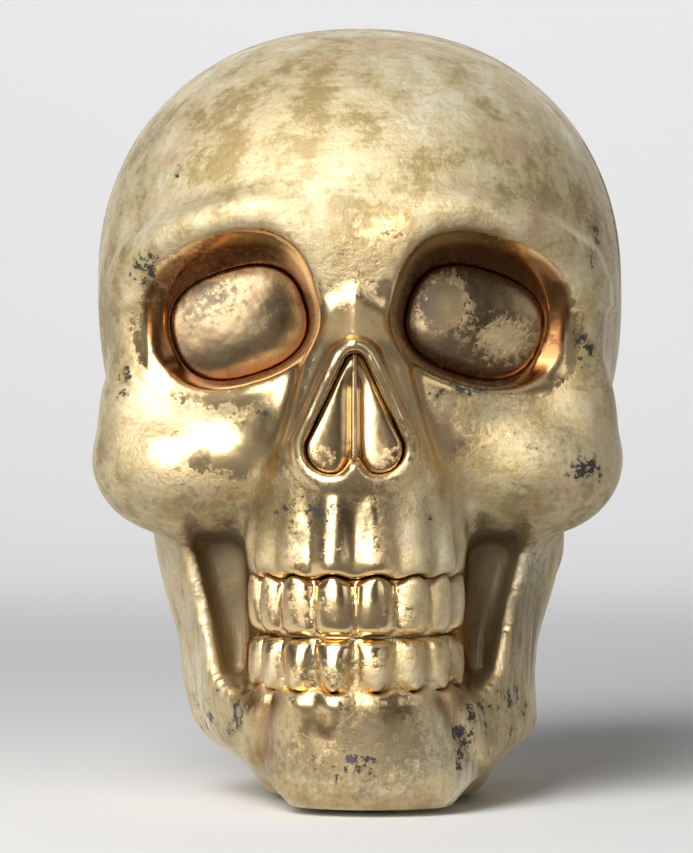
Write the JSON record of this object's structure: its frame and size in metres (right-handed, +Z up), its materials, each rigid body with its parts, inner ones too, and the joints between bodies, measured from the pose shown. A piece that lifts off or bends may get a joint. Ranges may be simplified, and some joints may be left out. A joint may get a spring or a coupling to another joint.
{
  "type": "skull ornament",
  "caption": "Life-size hollow skull ornament in worn gold leaf, with closed jaws, recessed eye sockets with domed discs, an open nose, rows of teeth and a flat padded base.",
  "frame": {"origin": "on the surface the skull stands on, under the middle of its bounding box", "axes": "+Z up, the face looks along -Y, and +X is on the skull's own left"},
  "size_m": [0.153, 0.1904, 0.221],
  "materials": {
    "gold_leaf": "gold leaf over black, part frosted pale gold and part polished, with worn black flecks",
    "polished_leaf": "polished warm gold leaf",
    "base_plastic": "fine matt moulded black",
    "screw_steel": "zinc plated",
    "pad_felt": "dark grey felt"
  },
  "bodies": {
    "root": {"face_shell": "gold_leaf", "cranium_shell": "gold_leaf", "left_eye_disc": "polished_leaf", "right_eye_disc": "polished_leaf", "nose_insert": "polished_leaf", "upper_teeth": "polished_leaf", "lower_teeth": "polished_leaf", "base_plate": "base_plastic", "base_screw_1": "screw_steel", "base_screw_2": "screw_steel", "base_screw_3": "screw_steel", "base_screw_4": "screw_steel", "foot_pad_1": "pad_felt", "foot_pad_2": "pad_felt", "foot_pad_3": "pad_felt", "foot_pad_4": "pad_felt"}
  },
  "joints": []
}
